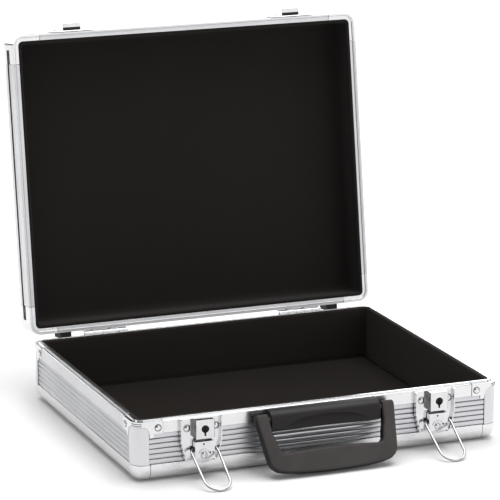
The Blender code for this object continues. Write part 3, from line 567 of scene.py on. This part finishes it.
# Lines on the lid, and corner details ------------------------------------------------------------

# Name: inset, height and radius, in mm
LID_LINES = {"front": (1.9, 53.78, 0.22), "low": (0.5, 65.0, 0.38), "high": (0.5, 73.9, 0.38)}
for name, (inset, height, radius) in LID_LINES.items():
    line = loop_points(inset * MM, height * MM, CORNER_RADIUS - inset * MM, 0)
    line = [TO_LID @ p for p in line + line[:1]]
    tube("lid_rim_line_" + name, line, radius, DARK_LINE, "lid")

RIVET_IN = 21.4 * MM
RIVET_Z = 47.4 * MM
BRACKET_OUT = 0.45 * MM
SLIT_REACH = 10.38 * MM
for corner in CORNERS:
    sx = -1 if corner.endswith("left") else 1
    sy = -1 if corner.startswith("front") else 1
    # Near-black lines in the bracket's slits: painted shade.
    for name, height in (("low", 49.9), ("high", 51.6)):
        line = []
        for step in range(9):
            across, deep = on_arc(HALF_WIDTH - CORNER_RADIUS, BACK - CORNER_RADIUS,
                                  SLIT_REACH, 18 + 54 * step / 8)
            line.append((sx * across, sy * deep, height * MM))
        tube("bracket_slit_" + name + "_" + corner, line, 0.3, RECESS_SHADE, "base")
    ring = ring_points((sx * (HALF_WIDTH - RIVET_IN), sy * (BACK + BRACKET_OUT), RIVET_Z), 2.95)
    tube("bracket_ring_x_" + corner, ring, 0.2, DARK_LINE, "base")
    ring = ring_points((sy * (BACK - RIVET_IN), 0, RIVET_Z), 2.95)
    ring = [(sx * (HALF_WIDTH + BRACKET_OUT), deep, up) for deep, _, up in ring]
    tube("bracket_ring_y_" + corner, ring, 0.2, DARK_LINE, "base")


# Latches -----------------------------------------------------------------------------------------

def at_latch(hand, x, out, z):
    """Place on a latch, from mm across from its middle, out from the front panel, and up."""
    return HANDS[hand] * LATCH_X + x * MM, FRONT - out * MM, z * MM


def bail_path():
    """Centre line of one wire loop in mm, in its own plane, hanging straight down."""
    side = [(7.45, 0), (9.4, 0), (10.3, -0.08), (11.0, -0.4), (11.5, -0.95), (11.8, -1.8),
            (11.95, -3.2), (11.9, -8), (11.85, -14), (11.7, -20), (11.55, -26), (11.4, -31)]
    bend_steps = 40
    bend = []
    for step in range(bend_steps + 1):
        degrees = -180 * step / bend_steps
        bend.append(on_arc(0, BAIL_HALF_WIDTH - BAIL_LENGTH, BAIL_HALF_WIDTH, degrees))
    return side + bend + [(-x, z) for x, z in reversed(side)]


# Name: across, up and radius, in mm
LEVER_HOLES = {"top": (-1, 30.6, 0.8), "low": (4.6, 22.6, 0.9), "end": (7.4, 22.8, 0.7)}
PLATE_RIVETS = {"left": -13.9, "right": 12.1}
PLATE_RIVET_Z = 44.3

for hand in HANDS:
    lever = "lever_" + hand
    pivot = Matrix.Translation(at_latch(hand, 0, BAIL_PIVOT_OUT, BAIL_AXIS_Z))
    pivot = pivot @ Matrix.Rotation(-BAIL_LEAN, 4, "X")
    centre_line = [pivot @ Vector((x * MM, 0, z * MM)) for x, z in bail_path()]
    loop = tube("wire_loop_" + hand, centre_line, BAIL_WIRE, LOOP_WIRE, "bail_" + hand)
    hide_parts("latch_bail_" + hand)

    # A near-black block in the keyhole: painted shade of its inside.
    box_piece("keyhole_slot_" + hand, at_latch(hand, -0.88, 8.05, KEYHOLE_Z - 5.95),
              at_latch(hand, 0.88, 5.65, KEYHOLE_Z - 3.55), RECESS_SHADE, "base")
    # A near-black strip on the plate under the lock box: painted shadow of the gap.
    box_piece("latch_gap_shadow_" + hand, at_latch(hand, -8.2, 1.6, 33.0),
              at_latch(hand, 8.2, 1.32, 35.25), RECESS_SHADE, "base")
    # Near-black discs for the lever's holes: painted shade of their insides.
    for name, (x, z, radius) in LEVER_HOLES.items():
        centre = at_latch(hand, x, LEVER_FACE, z)
        disc_piece("lever_hole_" + name + "_" + hand, centre, radius, RECESS_SHADE, lever)
    rivet = at_latch(hand, -0.9, LEVER_FACE, 21.2)
    tube("lever_ring_" + hand, ring_points(rivet, 3.1), 0.28, BARE_STEEL, lever)
    tube("lever_spring_" + hand, ring_points(rivet, 5.0, 15, 165), 0.32, BARE_STEEL, lever)
    # A near-black strip under the strike's hook: painted shadow and reflection.
    box_piece("hook_root_shadow_" + hand, at_latch(hand, -8.4, 4.2, 64.4),
              at_latch(hand, 8.4, 1.55, 64.78), RECESS_SHADE, "lid", TO_LID)

    for place, sign in HANDS.items():
        near, far = sorted((sign * 8.32, sign * 8.55))
        # Dark sheets on both sides of the lock box: painted shade and reflection.
        box_piece("lock_cheek_shade_" + hand + "_" + place, at_latch(hand, near, 7.9, 35.8),
                  at_latch(hand, far, LATCH_FACE, 51.9), DARK_PLATE_AND_SIDE_SHADE, "base")
        for turn in range(3):
            x, y, z = at_latch(hand, sign * (9.0 + 0.55 * turn), BAIL_PIVOT_OUT, BAIL_AXIS_Z)
            coil = [(x, deep, up) for deep, _, up in ring_points((y, 0, z), 1.65, count=20)]
            name = "spring_coil_" + hand + "_" + place + "_" + str(turn)
            tube(name, coil, 0.26, DARK_PLATE_AND_SIDE_SHADE, lever)
    for place, x in PLATE_RIVETS.items():
        ring = ring_points(at_latch(hand, x, LATCH_FACE, PLATE_RIVET_Z), 3.25)
        tube("rivet_ring_" + hand + "_" + place, ring, 0.3, BARE_STEEL, "base")


# Camera, floor and light -------------------------------------------------------------------------

def aim(direction):
    """Rotation that points a camera or a light along a direction."""
    return Vector(direction).to_track_quat("-Z", "Y").to_euler()


camera_data = bpy.data.cameras.new("camera")
camera_data.sensor_width = 36
camera_data.lens = 221.83
camera_data.clip_end = 100
camera = bpy.data.objects.new("camera", camera_data)
bpy.context.scene.collection.objects.link(camera)
camera.location = (-0.9975, -2.4692, 0.8237)
camera.rotation_euler = aim((0.3602, 0.9006, -0.2433))
bpy.context.scene.camera = camera

bm = bmesh.new()
bmesh.ops.create_grid(bm, x_segments=1, y_segments=1, size=12)
floor_mesh = bpy.data.meshes.new("floor")
bm.to_mesh(floor_mesh)
bm.free()
floor = bpy.data.objects.new("floor", floor_mesh)
floor.location = (0, 0, cad_low.z)
bpy.context.scene.collection.objects.link(floor)
floor_paint = Nodes("floor_paint")
floor_paint.shader.inputs["Base Color"].default_value = (0.92, 0.92, 0.92, 1)
floor_paint.shader.inputs["Roughness"].default_value = 0.9
floor_mesh.materials.append(floor_paint.mat)

# Name: place, target, size in metres and power in watts
SOFTBOXES = {
    "top": ((0.3, 0.3, 2.6), (0, 0, 0), (2.8, 2.4), 84),
    "back": ((0.6, 3.2, 1.0), (0, 0, 0.1), (4.0, 1.4), 54),
    "right": ((2.4, -0.9, 1.2), (0, 0, 0.1), (1.4, 1.2), 9),
    "front": ((1.15, -2.7, 0.5), (0, 0, 0.15), (2.0, 0.9), 5.5),
    "front_high": ((0.95, -2.3, 1.3), (0, 0, 0.1), (1.6, 0.8), 6),
    "left": ((-2.6, 0.3, 0.8), (-0.5, 0, 0), (1.8, 1.0), 8),
}
for name, (place, target, size, power) in SOFTBOXES.items():
    light = bpy.data.lights.new(name, "AREA")
    light.shape = "RECTANGLE"
    light.size, light.size_y = size
    light.energy = power
    softbox = bpy.data.objects.new(name, light)
    softbox.location = place
    softbox.rotation_euler = aim(Vector(target) - Vector(place))
    softbox.visible_camera = False
    bpy.context.scene.collection.objects.link(softbox)

world = bpy.data.worlds.new("studio")
world.use_nodes = True
background = world.node_tree.nodes["Background"]
background.inputs["Color"].default_value = (1, 1, 1, 1)
background.inputs["Strength"].default_value = 0.19
bpy.context.scene.world = world
bpy.context.scene.view_settings.view_transform = "Standard"
